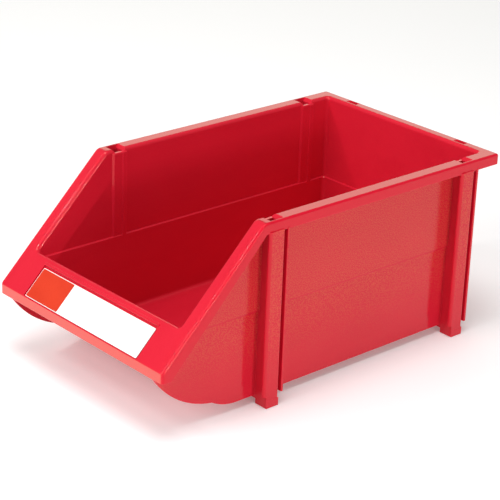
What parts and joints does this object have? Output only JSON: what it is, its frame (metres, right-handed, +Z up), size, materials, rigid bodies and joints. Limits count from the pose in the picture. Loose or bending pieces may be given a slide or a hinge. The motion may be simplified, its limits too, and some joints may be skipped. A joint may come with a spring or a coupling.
{
  "type": "stackable storage bin",
  "caption": "Open-front stackable storage bin with sloping sides, corner posts with feet, notched rim, and a slanted label pocket with a card.",
  "frame": {"origin": "on the floor under the feet, at the middle of the bin's length and width", "axes": "+Z up, +Y towards the tall rear wall (the low front lip is at -Y), +X towards the bin's right side seen from the front"},
  "size_m": [0.204, 0.347, 0.152],
  "materials": {
    "bin_plastic": "satin",
    "card": "matte",
    "tab": "matte"
  },
  "bodies": {
    "bin": {"bin_body": "bin_plastic"},
    "label": {"label_card": "card", "colour_tab": "tab"}
  },
  "joints": [
    {"name": "label_lift", "type": "slide", "parent": "bin", "child": "label", "axis": [0, -0.7018, 0.7124], "range_m": [0, 0.03]}
  ]
}
